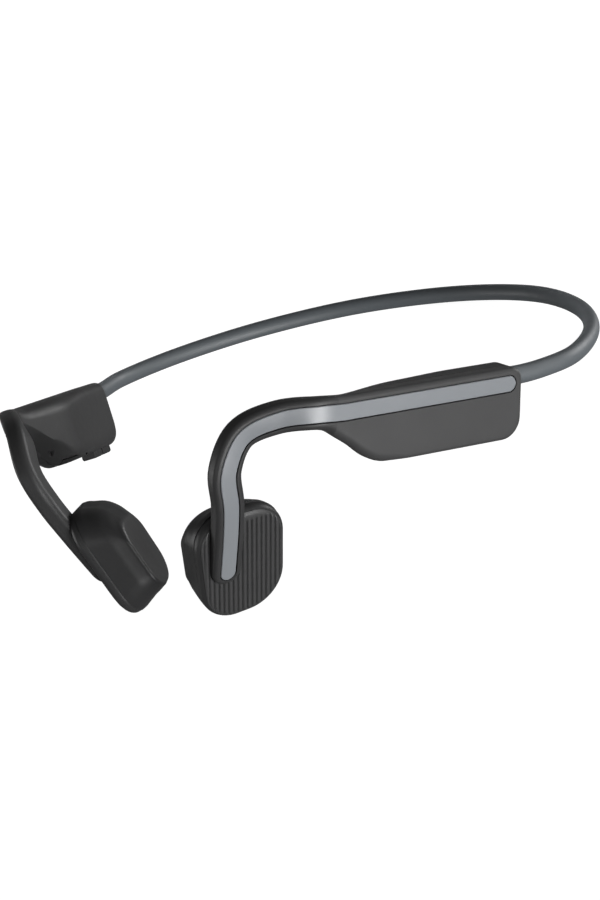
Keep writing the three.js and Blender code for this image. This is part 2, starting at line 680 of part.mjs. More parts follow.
// A rubber flap that swings on its rear end, with a lip that fills the port's mouth.
function portCover() {
  const [x, z] = PORT_CENTRE;
  const [long, wide] = COVER_SIZE;
  const pin = COVER_THICK / 2;
  const rear = x - long / 2 + pin;
  const front = x + long / 2;
  const plan = roundedOutline([[rear, -wide / 2, 0], [front, -wide / 2, COVER_CORNER],
    [front, wide / 2, COVER_CORNER], [rear, wide / 2, 0]], 4);
  const flap = extrude(plan, 0, COVER_THICK).rotateX(Math.PI / 2).translate(0, COVER_THICK, z);
  const hinge = new THREE.CylinderGeometry(pin, pin, wide, 12).rotateX(Math.PI / 2).translate(rear, pin, z);
  const lip = portBox(COVER_LIP, COVER_THICK - 0.1, PORT_FRONT + 0.7);
  return join(flap, hinge, lip);
}

// A clear rod that carries the status light from the board to the underside.
function statusLight(grow) {
  const radius = LIGHT_RADIUS + grow;
  const height = LIGHT_LENGTH + 2 * grow;
  return new THREE.CylinderGeometry(radius, radius, height, 12)
    .translate(LIGHT_AT, LIGHT_MIDDLE, BUTTON_DEPTH);
}

function microphoneHole() {
  const [x, y] = MICROPHONE_HOLE;
  const [long, high] = MICROPHONE_HOLE_SIZE;
  return box([x - long / 2, y - high / 2, POD_SPLIT + 0.5], [x + long / 2, y + high / 2, POD_THICK]);
}

function rightElectronics() {
  const { volume_down_button: down, volume_up_button: up } = BUTTON_AT;
  return [
    piece('main_board', box(...MAIN_BOARD), BOARD),
    piece('bluetooth_module', box(...BLUETOOTH_MODULE), FOIL),
    piece('audio_amplifier', box(...AUDIO_AMPLIFIER), CABLE),
    piece('usb_c_receptacle', receptacle(), STEEL),
    piece('port_cover', portCover(), SILICONE),
    piece('volume_down_button', volumeButton(down), SILICONE),
    piece('volume_up_button', volumeButton(up), SILICONE),
    piece('volume_down_switch', volumeSwitch(down), STEEL),
    piece('volume_up_switch', volumeSwitch(up), STEEL),
    piece('microphone', box(...MICROPHONE), FOIL),
    piece('status_light', statusLight(0), LENS),
  ];
}

// ---------------------------------------------------------------- one side
function makeSide(side) {
  const right = side === 'right';
  const group = new THREE.Group();
  const pod = new THREE.Group();
  pod.applyMatrix4(podFrame);
  const pad = new THREE.Group();
  pad.applyMatrix4(padFrame);
  group.add(pod, pad);

  const strip = stripSolid(0);
  const stripRoom = stripSolid(GAP);
  const coreRoom = hookWire(HOOK_CORE_RADIUS, 1, GAP);
  const cableRoom = hookWire(HOOK_CABLE_RADIUS, -1, GAP);
  const shared = [bandHole(), coreRoom, cableRoom].map((tool) => local(tool, podFrame));
  shared.push(podCavity());
  if (right) {
    shared.push(...Object.values(BUTTON_AT).map(buttonHole), ...portRoom());
    shared.push(statusLight(GAP), microphoneHole());
  }
  pod.add(
    piece(`${side}_pod_outer_shell`, podOuterShell([...shared, local(stripRoom, podFrame)]), CHARCOAL_FLAT),
    piece(`${side}_pod_inner_shell`, podInnerShell(shared), CHARCOAL),
    piece(`${side}_band_anchor`, bandAnchor(), STEEL),
    ...(right ? rightElectronics() : leftElectronics()),
  );
  group.add(
    piece(`${side}_strip`, strip, SLATE),
    piece(`${side}_ear_hook`, cut(hookSolid(0), stripRoom, coreRoom, cableRoom), CHARCOAL),
    piece(`${side}_hook_core`, hookWire(HOOK_CORE_RADIUS, 1, 0), TITANIUM),
    piece(`${side}_hook_cable`, hookWire(HOOK_CABLE_RADIUS, -1, 0), CABLE),
  );
  const hookRoom = local(hookSolid(GAP), padFrame);
  const plateName = right ? 'right_ribbed_cover' : 'multifunction_button';
  pad.add(
    piece(`${side}_transducer_shell`, padShell(hookRoom), CHARCOAL),
    piece(plateName, ribbedPlate(hookRoom), CHARCOAL_FLAT),
    piece(`${side}_contact_pad`, contactPad(), SILICONE),
    driverPieces(side),
  );
  if (!right) {
    pad.add(buttonSwitch());
  }
  return group;
}

// ---------------------------------------------------------------- the whole object
function headphones() {
  const left = makeSide('left');
  const right = new THREE.Group();
  right.scale.x = -1;
  right.add(makeSide('right'));
  const worn = new THREE.Group();
  worn.add(neckband(), left, right);
  worn.rotation.x = -degrees(TABLE_PITCH);
  const standing = new THREE.Group();
  standing.add(worn);
  standing.updateMatrixWorld(true);
  const bounds = new THREE.Box3().setFromObject(standing, true);
  const middle = bounds.getCenter(new THREE.Vector3());
  standing.position.set(-middle.x, -middle.y, -bounds.min.z);
  return standing;
}

export default headphones();
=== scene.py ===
import json
import math

import bmesh
import bpy
import numpy as np
from mathutils import Matrix, Vector


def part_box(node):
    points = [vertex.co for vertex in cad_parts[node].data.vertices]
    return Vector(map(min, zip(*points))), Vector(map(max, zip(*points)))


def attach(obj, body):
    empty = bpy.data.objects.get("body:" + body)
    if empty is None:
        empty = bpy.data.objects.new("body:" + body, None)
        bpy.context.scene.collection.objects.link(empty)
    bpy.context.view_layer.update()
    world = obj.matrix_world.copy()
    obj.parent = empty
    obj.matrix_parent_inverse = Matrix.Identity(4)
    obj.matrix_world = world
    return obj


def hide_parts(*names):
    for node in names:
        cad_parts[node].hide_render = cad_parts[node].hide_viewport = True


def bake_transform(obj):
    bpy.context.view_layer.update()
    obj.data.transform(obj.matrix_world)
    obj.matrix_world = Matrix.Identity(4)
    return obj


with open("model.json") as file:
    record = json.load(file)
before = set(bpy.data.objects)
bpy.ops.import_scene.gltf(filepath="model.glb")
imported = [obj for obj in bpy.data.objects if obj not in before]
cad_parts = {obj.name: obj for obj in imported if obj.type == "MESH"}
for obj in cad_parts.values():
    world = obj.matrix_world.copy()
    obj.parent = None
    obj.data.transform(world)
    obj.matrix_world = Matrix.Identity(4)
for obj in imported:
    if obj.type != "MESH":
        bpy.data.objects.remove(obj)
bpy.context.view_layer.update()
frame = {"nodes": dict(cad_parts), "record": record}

# The looks of a pair of bone conduction headphones. Shapes are drawn in millimetres in the worn
# frame, for the left side, and placed in the row frame in metres. The right side is mirrored.

# ---------------------------------------------------------------- driving dimensions, as in CAD
MM = 0.001
TABLE_PITCH = 15.4
# The pod's origin, turn, height and length were fitted to the photo.
POD_ORIGIN = (56.8, -12.5, -11.7)
POD_TURN = (22.3, 7.9, 8.1)             # toe-in, rise and cant, degrees
POD_HEIGHT = 14.8
POD_THICK = 8.2
POD_SPLIT = 3.15                        # where the outer shell meets the inner shell
POD_LENGTH = 44.4
POD_BOTTOM_RADIUS = 4.5
POD_TOP_RADIUS = 2.5
POD_SWEEP = (33.0, 49.7, 8.5)           # start, end and rise of the lower edge
POD_TAPER = (27, 50)                    # where its depth goes down to the hook's
HOOK_HALF = 3.1
HOOK_THICK = 3.8
HOOK_LINE = 11.65
HOOK_BENDS = ((38.6, -55.4, 7.0), (33.1, -60.5, 7.8), (27.6, -65.4, 6.1), (24.5, -68.2, 0.0),
              (22.4, -66.8, -7.1))
HOOK_ON_PAD = ((9, 2.7), (2.5, 1.9), (-3.9, 1.0))    # places up the ribbed face, and how proud there
STRIP_HALF = 1.62
STRIP_REAR = 1.9
STRIP_GROOVE = 0.2                      # the dark line around the strip
OUTER_EDGE = 1.05                       # fillet around the outer face
SWELL_EDGE = 1.1                        # what it grows by along the pod's lower front edge
SWELL_FROM, SWELL_TO = (27, 35), (46, 54)
POD_INNER_EDGE = 2.2                    # fillets around the inner faces
TOP_SOFT = 1.4                          # what the top one grows by towards the hook
TOP_FROM, TOP_TO = (14, 30), (42, 52)
HOOK_INNER_EDGE = 1.5
BEVEL_UP, BEVEL_IN, BEVEL_FLAT = 2.0, 0.8, 0.9      # the bevel below the inner face
BEVEL_FROM, BEVEL_TO = (31, 36), (44, 54)
PAD_ORIGIN = (18.0, -60.3, -20.9)
PAD_TURN = (27.6, 0.5, 21.6)
# The corners (place and radius) and the sections below come from a least-squares fit to the photo.
PAD_CORNERS = ((-10.0, -12.9, 8.3), (7.6, -13.6, 7.3), (10.1, 11.6, 6.8), (-9.9, 10.8, 7.5))
STRIP_ON_PAD = 3.7
RIB_CENTRE = 3.4
PAD_SEAM = 2.2
RIM_RADIUS = 1.5                        # fillet around the ribbed face
PLATE_INSET = 0.55                      # the plate starts this far inside the outline
PLATE_BACK = 1.35
WELL_FLOOR = 1.9                        # of the well in the shell, clear of the pressed plate
RIB_PITCH = 1.05
RIB_DEPTH = 0.42
RIB_TOP = 8.9
# Sections of the soft pad: depth, scale along and up, shift along and up. The last three are
# listed, and the first two were adjusted so that the pad meets its shell.
PAD_LEVELS = ((2.3, 1, 1.012, 0, 0.12), (3.3, 0.99, 0.995, 0.1, 0.1), (4.2, 0.98, 0.962, 0.19, 0),
              (6.2, 0.958, 0.889, 0.32, -0.23), (7.8, 0.888, 0.807, 0.57, -0.87),
              (9.0, 0.793, 0.711, 1.07, -1.72), (9.65, 0.735, 0.655, 1.42, -2.2),
              (9.88, 0.69, 0.615, 1.5, -2.35), (9.9, 0.65, 0.58, 1.5, -2.35))
DRIVER_CENTRE = (0.8, -1.4, 6.15)
BAND_WIDTH = 3.5
BAND_HEIGHT = 3.9
BAND_ON_POD = (12.0, 4.3)
BAND_INSIDE = 2.6
BAND_BENDS = ((58.2, -1.6, -0.1), (60.3, 7.6, -0.1), (56.1, 26.0, 0.6), (44.0, 45.1, 1.6),
              (24.9, 60.2, 2.3))
BAND_BACK = (0.0, 66.3, 2.4)
BAND_WIRES = {"neckband_core": (0.85, 0.45, 5.6), "neckband_cable": (-0.85, 0.5, 6.6)}
BEND_FROM = (22.0, 61.0)                # x and y where the neckband starts to follow a side; bend_with reads it but bends nothing
BEND_TO = (59.0, 0.0)
BUTTONS = {"volume_down_button": 8.8, "volume_up_button": 15.0}     # places along the pod
BUTTON_SIZE = (5.6, 3.0)
BUTTON_DEPTH = 5.3
BUTTON_PROUD = 1.4
BUTTON_INSIDE = 1.8
PORT_AT = (28.4, 5.3)
PORT_SIZE = (8.94, 3.2)
COVER_SIZE = (11.4, 4.0)
COVER_THICK = 0.9
COVER_LIP = (7.4, 1.8)                  # the plug that fills the mouth
COVER_SHORT = 0.24                      # what the flap is cut back by at its hinged end
# Sections of the flap: depth, and how far in from its outline.
COVER_LEVELS = ((-0.3, 1.15), (-0.2, 0.95), (-0.06, 0.8), (0, 0.08), (0.1, 0), (COVER_THICK, 0))
LIGHT_AT = (20.3, 5.3)                  # status light
LIGHT_SIZE = 1.1
MICROPHONE_AT = (37.9, 3.2)
MICROPHONE_SIZE = (1.9, 1.1)

# ---------------------------------------------------------------- fine detail, only in the looks
FILLET_ROOM = 0.15                      # flat wall kept between two fillets
STRIP_ROOM = 0.4                        # flat face kept below the strip
GROOVE_LIP = 0.05                       # bevel at the mouth of the strip's groove
GROOVE_DEEP = 0.9
STRIP_EDGE = 0.12                       # bevel along the strip
STRIP_CROWN = 0.02                      # its middle is this proud, its edge this sunk
STRIP_BACK = 0.8
RIM_GAP = 0.06                          # around the plate, in the rim
OUTLINE_POINTS = 160
PLATE_POINTS = 240
PLATE_ROWS = 90
PAD_REACH = 12                          # about half the pad's height, to weigh scale against depth
CONTACT_CROWN = 0.06
HOOK_CLEARANCE = 0.15                   # between the hook and the plate that is cut around it
HOOK_OVER_PLATE = 26                    # length of hook that can reach the plate
SEAM_HALF, SEAM_OUT, SEAM_DEEP = 0.06, 0.4, 0.14    # half its width, its start outside, its depth
OUTSIDE = -1                            # depth at which holes start, clear of the skin
BUTTON_GAP = 0.16                       # this gap and the next two are on each side
BUTTON_HOLE = (0.5, 3.2)                # corner radius and depth, here and below
BUTTON_EDGE = 0.35
BUTTON_WAVES = 3.5
BUTTON_WAVE_DEEP = 0.36
COVER_GAP = 0.3
COVER_RECESS = (1.7, 1.15)
COVER_CORNER, LIP_CORNER = 1.6, 0.9
LIP_LEVELS = ((COVER_THICK - 0.1, 0), (1.9, 0), (2.1, 0.2))
PORT_GAP = 0.1
PORT_ROOM = (1.4, 8.6)
PORT_ROOM_FROM = 0.9
LIGHT_DEEP = 2.6
MICROPHONE_CORNER, MICROPHONE_FROM, MICROPHONE_TO = 0.3, 4.2, 9
SOFT_EDGE = 0.1                         # bevel on the CAD pieces that are rounded here

# ---------------------------------------------------------------- stage, lights and camera values
CAMERA_AT = (263.36, -371.99, 93.57)    # worn frame, mm; the camera was fitted to the photo
CAMERA_RIGHT = (0.8203, 0.5404, -0.1876)
CAMERA_UP = (0.0216, 0.2986, 0.9541)
CAMERA_LENS = 84.5
WORLD_LIGHT = 0.13
AIM = (0, 0, 0.02)                      # what the soft boxes face
FLOOR_FLAT, FLOOR_EDGE, FLOOR_RISE = 2.5, 9.0, 4.5
FLOOR_SIDES = 96
# Place, size and power of each soft box.
SOFT_BOXES = {
    "key": ((1.15, -0.15, 0.05), (0.8, 0.6), 9),
    "under": ((1.0, -0.5, -0.38), (0.6, 0.5), 11),
    "front": ((-0.1, -1.2, 0.2), (0.9, 0.6), 2),
    "side": ((-1.15, -0.5, 0.1), (0.6, 0.6), 4),
    "back": ((0.6, 1.1, 0.1), (0.9, 0.5), 8),
    "rear": ((-0.85, 0.9, 0.12), (0.9, 0.7), 22),
}


# ---------------------------------------------------------------- frames and paths
def unit(v):
    v = np.asarray(v, float)
    return v / np.linalg.norm(v, axis=-1, keepdims=True)


def turn(v, axis, angle):
    """v turned about a unit axis that is square to it."""
    return v * math.cos(angle) + np.cross(axis, v) * math.sin(angle)


class Local:
    """A frame with x forward, y up and z towards the head."""

    def __init__(self, origin, toe_in, rise, cant):
        t, r, c = np.radians([toe_in, rise, cant])
        forward = np.array([-math.sin(t) * math.cos(r), -math.cos(t) * math.cos(r), math.sin(r)])
        inward = unit(np.cross(forward, (0, 0, 1)))
        up = turn(np.cross(inward, forward), forward, -c)
        self.origin = np.array(origin)
        self.axes = np.array([forward, up, np.cross(forward, up)])

    def out(self, points):
        return self.origin + np.asarray(points, float) @ self.axes


POD = Local(POD_ORIGIN, *POD_TURN)
PAD = Local(PAD_ORIGIN, *PAD_TURN)


def pitched(points):
    """Turns points so that the object lies on the table."""
    c, s = math.cos(math.radians(TABLE_PITCH)), math.sin(math.radians(TABLE_PITCH))
    p = np.asarray(points, float)
    return np.stack([p[..., 0], p[..., 1] * c + p[..., 2] * s, p[..., 2] * c - p[..., 1] * s], -1)


yoke = [np.array(corner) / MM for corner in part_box("left_driver_yoke")]
SHIFT = (yoke[0] + yoke[1]) / 2 - pitched(PAD.out(DRIVER_CENTRE))


def row(points, side="left"):
    """Points of the worn frame, in mm, in the row frame, in metres."""
    p = np.array(points, float)
    if side == "right":
        p[..., 0] *= -1
    return (pitched(p) + SHIFT) * MM


class Path:
    """A centripetal Catmull-Rom curve through points, read by distance."""

    def __init__(self, points):
        p = np.array(points, float)
        p = np.vstack([2 * p[0] - p[1], p, 2 * p[-1] - p[-2]])
        knots = np.concatenate([[0], np.cumsum(np.linalg.norm(np.diff(p, axis=0), axis=1) ** 0.5)])
        pieces = []
        for i in range(1, len(p) - 2):
            t = np.linspace(knots[i], knots[i + 1], 80, endpoint=False)
            pieces.append(self.segment(p[i - 1:i + 3], knots[i - 1:i + 3], t))
        self.points = np.vstack([*pieces, p[-2]])
        steps = np.linalg.norm(np.diff(self.points, axis=0), axis=1)
        self.at = np.concatenate([[0], np.cumsum(steps)])
        self.length = self.at[-1]

    @staticmethod
    def segment(p, k, t):
        t = t[:, None]

        def mix(a, b, i, j):
            return a * (k[j] - t) / (k[j] - k[i]) + b * (t - k[i]) / (k[j] - k[i])

        a1, a2, a3 = (mix(p[i], p[i + 1], i, i + 1) for i in range(3))
        b1, b2 = mix(a1, a2, 0, 2), mix(a2, a3, 1, 3)
        return mix(b1, b2, 1, 2)

    def point(self, distance):
        return np.stack([np.interp(distance, self.at, self.points[:, i]) for i in range(3)], -1)

    def along(self, distance, reach=0.4):
        d = np.asarray(distance, float)
        low, high = np.maximum(d - reach, 0), np.minimum(d + reach, self.length)
        return unit(self.point(high) - self.point(low))


def smooth(x, start, end):
    t = np.clip((np.asarray(x, float) - start) / (end - start), 0, 1)
    return t * t * (3 - 2 * t)


HALF_THICK = HOOK_THICK / 2
HOOK = Path([*POD.out([(x, HOOK_LINE, HALF_THICK) for x in (0, 20, 40, POD_LENGTH - 1)]), *HOOK_BENDS,
             *PAD.out([(STRIP_ON_PAD, up, HALF_THICK - proud) for up, proud in HOOK_ON_PAD])])


def hook_points(distance, across, depth):
    """Points at a distance along the hook, across it and below its outer face."""
    d = np.asarray(distance, float)
    along = HOOK.along(d)
    share = smooth(d, POD_LENGTH - 4, HOOK.length - 16)[..., None]
    out = -POD.axes[2] * (1 - share) - PAD.axes[2] * share
    out = unit(out - (out * along).sum(-1, keepdims=True) * along)
    side = np.cross(out, along)
    height = (HALF_THICK - np.asarray(depth, float))[..., None]
    return HOOK.point(d) + side * np.asarray(across, float)[..., None] + out * height


# ---------------------------------------------------------------- mesh helpers
def make(name, points, faces, side="left", tags=None):
    """A mesh piece from worn-frame points in mm."""
    flip = side == "right"
    mesh = bpy.data.meshes.new(name)
    mesh.from_pydata(row(points, side).tolist(), [], [f[::-1] if flip else f for f in faces])
    if tags is not None:
        mesh.polygons.foreach_set("material_index", tags)
    piece = bpy.data.objects.new(name, mesh)
    bpy.context.scene.collection.objects.link(piece)
    return piece


def grid_faces(rows, columns, closed=True):
    faces = []
    for r in range(rows - 1):
        this, following = r * columns, (r + 1) * columns
        for c in range(columns if closed else columns - 1):
            n = (c + 1) % columns
            faces.append((this + c, this + n, following + n, following + c))
    return faces


def capped_faces(rows, columns):
    last = (rows - 1) * columns
    faces = grid_faces(rows, columns)
    faces.append(tuple(range(columns - 1, -1, -1)))
    faces.append(tuple(range(last, last + columns)))
    return faces


def apply_modifiers(piece):
    graph = bpy.context.evaluated_depsgraph_get()
    mesh = bpy.data.meshes.new_from_object(piece.evaluated_get(graph))
    piece.modifiers.clear()
    piece.data = mesh


def clean(piece):
    """Merges doubled points and turns all faces outward."""
    work = bmesh.new()
    work.from_mesh(piece.data)
    bmesh.ops.remove_doubles(work, verts=work.verts, dist=2e-6)
    bmesh.ops.dissolve_degenerate(work, edges=work.edges, dist=1e-7)
    bmesh.ops.recalc_face_normals(work, faces=work.faces)
    work.to_mesh(piece.data)
    work.free()


def shade(piece, sharp=32):
    piece.data.shade_smooth()
    piece.data.set_sharp_from_angle(angle=math.radians(sharp))


def combine(piece, operation, *tools):
    """Cuts, joins or crops a piece with other meshes, which are used up."""
    for tool in tools:
        clean(tool)
        modifier = piece.modifiers.new("combine", "BOOLEAN")
        modifier.operation = operation
        modifier.solver = "EXACT"
        modifier.object = tool
    apply_modifiers(piece)
    for tool in tools:
        bpy.data.objects.remove(tool)


def slab(name, front, back, columns, rows, side):
    """A closed slab between two matching grids of worn-frame points."""
    total = len(front)
    faces = grid_faces(columns, rows, closed=False)
    faces += [tuple(i + total for i in f[::-1]) for f in faces]
    edge = [c * rows for c in range(columns)]
    edge += [(columns - 1) * rows + r for r in range(1, rows)]
    edge += [c * rows + rows - 1 for c in range(columns - 2, -1, -1)]
    edge += list(range(rows - 2, 0, -1))
    for a, b in zip(edge, edge[1:] + edge[:1]):
        faces.append((a, b, b + total, a + total))
    piece = make(name, np.vstack([front, back]), faces, side)
    clean(piece)
    return piece


def finish(piece, body, slot, *nodes):
    """Gives a piece its material, the body that it rides on and the CAD nodes that it replaces."""
    piece.data.materials.append(LOOKS[slot])
    if body:
        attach(piece, body)
    if nodes:
        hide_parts(*nodes)
    return piece


# ---------------------------------------------------------------- pod and hook
def end_inset(x, inset, radius):
    """How far a wall comes in at x from an end whose corner has this radius."""
    curve = radius - np.sqrt(np.maximum((radius - inset) ** 2 - (radius - x) ** 2, 0))
    return np.where(x < radius, curve, inset)


def fillet(x, radius, count=7):
    """Insets and depths around an edge, from the face to the wall, at x from the rounded end."""
    start = np.arcsin(np.clip(1 - x / radius, 0, 1))
    angle = start + (math.pi / 2 - start) * np.linspace(0, 1, count)
    return radius * (1 - np.sin(angle)), radius * (1 - np.cos(angle))


def pod_depth(s):
    return POD_THICK - (POD_THICK - HOOK_THICK) * smooth(s, *POD_TAPER)


def body_section(s, grow=0.0):
    """One closed section through pod or hook, as (across, depth) pairs."""
    start, end, rise = POD_SWEEP
    depth = float(pod_depth(s))
    lower = max(HOOK_LINE - rise * float(smooth(s, start, end)), HOOK_HALF)
    to_hook = float(smooth(s, POD_LENGTH - 6, POD_LENGTH + 4))
    lower_outer = OUTER_EDGE + SWELL_EDGE * float(smooth(s, *SWELL_FROM) * (1 - smooth(s, *SWELL_TO)))
    lower_outer = max(OUTER_EDGE, min(lower_outer, lower - STRIP_HALF - STRIP_ROOM))
    inner = POD_INNER_EDGE - (POD_INNER_EDGE - HOOK_INNER_EDGE) * to_hook
    bevel = float(smooth(s, *BEVEL_FROM) * (1 - smooth(s, *BEVEL_TO)))
    bevel_size = (inner + BEVEL_UP * bevel,
                  min(inner + BEVEL_IN * bevel, depth - lower_outer - FILLET_ROOM))
    front = HOOK.length - s
    near_end = min(s, front)

    def corner(radius, width, rear_radius, sign, inside, size=None):
        inset, level = fillet(near_end, radius)
        if size:
            share = np.linspace(0, 1, len(inset))
            flat = BEVEL_FLAT * bevel
            inset = inset / radius * size[0] * (1 - flat) + size[0] * (1 - share) * flat
            level = level / radius * size[1] * (1 - flat) + size[1] * share * flat
        come_in = end_inset(s, inset, rear_radius) + end_inset(front, inset, HOOK_HALF) - inset
        across = sign * np.maximum(width + grow - come_in, 0)
        level = depth + grow - level if inside else level - grow
        return np.stack([across, level], -1)

    top_out = corner(OUTER_EDGE, HOOK_HALF, POD_TOP_RADIUS, -1, False)
    low_out = corner(lower_outer, lower, POD_BOTTOM_RADIUS, 1, False)
    low_in = corner(inner, lower, POD_BOTTOM_RADIUS, 1, True, bevel_size)[::-1]
    soft = TOP_SOFT * float(smooth(s, *TOP_FROM) * (1 - smooth(s, *TOP_TO)))
    top_edge = min(inner + soft, depth - OUTER_EDGE - FILLET_ROOM)
    top_in = corner(top_edge, HOOK_HALF, POD_TOP_RADIUS, -1, True)
    half = strip_half(s, STRIP_GROOVE) if grow == 0 else 0.0
    lip = GROOVE_LIP if half > 2 * GROOVE_LIP else 0.0
    deep = GROOVE_DEEP if half > 0 else 0.0
    face = low_out[0, 1]
    groove = np.array([(-half - lip, face), (-half, face + lip), (-half, face + deep),
                       (half, face + deep), (half, face + lip), (half + lip, face)])

    def between(a, b, count):
        return a + (b - a) * np.linspace(0, 1, count + 2)[1:-1, None]

    return np.vstack([top_out[::-1], between(top_out[0], groove[0], 2), groove,
                      between(groove[-1], low_out[0], 5), low_out,
                      between(low_out[-1], low_in[0], 4), low_in,
                      between(low_in[-1], top_in[0], 9), top_in,
                      between(top_in[-1], top_out[-1], 4)])


def strip_half(s, grow=0.0):
    """Half the width of the strip at a distance, with its half-round ends."""
    start = STRIP_REAR - grow
    end = HOOK.length - (HOOK_HALF - STRIP_HALF) + grow
    radius = STRIP_HALF + grow
    left = min(s - start, end - s, radius)
    return 0.0 if left <= 0 else math.sqrt(radius ** 2 - (radius - left) ** 2)


def stations(start, end, spacing, ends=()):
    """Distances along the hook, closer together at the given rounded ends (place, radius, sign)."""
    found = list(np.linspace(start, end, int((end - start) / spacing) + 1))
    for place, radius, sign in ends:
        arc = radius * (1 - np.cos(np.radians(np.linspace(0, 90, 13))))
        found += [place + sign * a for a in arc]
    kept = []
    for s in sorted(found):
        if start - 1e-6 <= s <= end + 1e-6 and (not kept or s - kept[-1] > 0.012):
            kept.append(s)
    return kept


def body_stations():
    groove_front = HOOK.length - (HOOK_HALF - STRIP_HALF) + STRIP_GROOVE
    groove = STRIP_HALF + STRIP_GROOVE
    ends = [(0, 2.2, 1), (0, POD_BOTTOM_RADIUS, 1), (STRIP_REAR - STRIP_GROOVE, groove, 1),
            (groove_front, groove, -1), (HOOK.length, HOOK_HALF, -1), (HOOK.length, 1.5, -1)]
    return stations(0, HOOK.length, 0.9, ends)


def body_points(places, grow=0.0):
    rows = []
    for s in places:
        section = body_section(s, grow)
        rows.append(hook_points(np.full(len(section), s), section[:, 0], section[:, 1]))
    return rows


OUTER, INNER, HOOK_PART = 0, 1, 2


def side_body(side):
    """The closed skin of pod and hook, with each face tagged by the piece that it belongs to."""
    places = body_stations()
    rows = body_points(places)
    columns = len(rows[0])
    sections = [body_section(s) for s in places]
    tags = []
    for r in range(len(places) - 1):
        for c in range(columns):
            depth = (sections[r][c, 1] + sections[r][(c + 1) % columns, 1]) / 2
            if places[r] >= POD_LENGTH:
                tags.append(HOOK_PART)
            else:
                tags.append(OUTER if depth < POD_SPLIT else INNER)
    tags += [INNER, HOOK_PART]
    body = make(f"{side}_body", np.vstack(rows), capped_faces(len(rows), columns), side, tags)
    clean(body)
    return body


def strip(side):
    start, end = STRIP_REAR, HOOK.length - (HOOK_HALF - STRIP_HALF)
    places = stations(start + 0.004, end - 0.004, 0.9, [(start, STRIP_HALF, 1), (end, STRIP_HALF, -1)])
    rows = []
    for s in places:
        half = strip_half(s)
        edge = min(STRIP_EDGE, half / 2)
        across = np.array([-half, -half, -half + edge, -half / 2, 0, half / 2, half - edge, half, half])
        left = [STRIP_BACK, STRIP_CROWN + edge, STRIP_CROWN, -STRIP_CROWN / 2]
        depth = np.array([*left, -STRIP_CROWN, *left[::-1]])
        rows.append(hook_points(np.full(len(across), s), across, depth))
    piece = make(f"{side}_inlay_strip", np.vstack(rows), capped_faces(len(rows), len(rows[0])), side)
    clean(piece)
    shade(piece)
    return piece


# ---------------------------------------------------------------- neckband
class Band:
    """The neckband's middle line from inside the left pod to the middle of the back."""

    def __init__(self, inside, lift):
        half = [POD.out((inside, *BAND_ON_POD)), POD.out((-3, *BAND_ON_POD)), *BAND_BENDS]
        other = [(-x, y, z) for x, y, z in reversed(half)]
        self.path = Path([(x, y, z + lift) for x, y, z in (*half, BAND_BACK, *other)])

    def tube(self, name, side, width, height, count, sides):
        places = np.linspace(0, self.path.length / 2, count)
        along = self.path.along(places)
        across = unit(np.cross((0, 0, 1), along))
        rise = np.cross(along, across)
        angle = 2 * math.pi * np.arange(sides) / sides
        ring = np.stack([np.cos(angle) * width / 2, np.sin(angle) * height / 2], -1)
        points = (self.path.point(places)[:, None] + across[:, None] * ring[None, :, :1]
                  + rise[:, None] * ring[None, :, 1:])
        piece = make(name, points.reshape(-1, 3), capped_faces(count, sides), side)
        clean(piece)
        return piece


def open_back(piece):
    """Removes the end cap at the middle of the back, where the two halves meet."""
    work = bmesh.new()
    work.from_mesh(piece.data)
    caps = [f for f in work.faces if len(f.verts) > 4 and abs(f.calc_center_median().x) < 1e-4]
    bmesh.ops.delete(work, geom=caps, context="FACES_ONLY")
    work.to_mesh(piece.data)
    work.free()


def bend_with(piece, side):
    sign = 1 if side == "left" else -1
    start = row((BEND_FROM[0] * sign, BEND_FROM[1], 0))
    end = row((BEND_TO[0] * sign, BEND_TO[1], 0))
    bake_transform(piece)


# ---------------------------------------------------------------- transducer
def pad_outline(count=OUTLINE_POINTS, inset=0.0):
    """Evenly spaced points around the transducer, counter-clockwise from inside the wearer's view."""
    points = []
    corners = [np.array(c[:2]) for c in PAD_CORNERS]
    for i, (x, y, radius) in enumerate(PAD_CORNERS):
        here = np.array((x, y))
        before, after = unit(corners[i - 1] - here), unit(corners[(i + 1) % 4] - here)
        half = math.acos(before @ after) / 2
        centre = here + unit(before + after) * radius / math.sin(half)
        first = here + before * radius / math.tan(half) - centre
        last = here + after * radius / math.tan(half) - centre
        a, b = math.atan2(first[1], first[0]), math.atan2(last[1], last[0])
        b -= 2 * math.pi * round((b - a) / (2 * math.pi))
        angle = np.linspace(a, b, 40)[:, None]
        points.append(centre + (radius - inset) * np.hstack([np.cos(angle), np.sin(angle)]))
    loop = np.vstack([*points, points[0][:1]])
    at = np.concatenate([[0], np.cumsum(np.linalg.norm(np.diff(loop, axis=0), axis=1))])
    t = np.linspace(0, at[-1], count, endpoint=False)
    return np.stack([np.interp(t, at, loop[:, i]) for i in (0, 1)], -1)


def ring(outline, level):
    return PAD.out(np.column_stack([outline, np.full(len(outline), level)]))


def rim_depth(inset):
    """Depth of the rounded rim below the ribbed face, at an inset from the outline."""
    left = np.clip(RIM_RADIUS - inset, 0, RIM_RADIUS)
    return RIM_RADIUS - np.sqrt(RIM_RADIUS ** 2 - left ** 2)


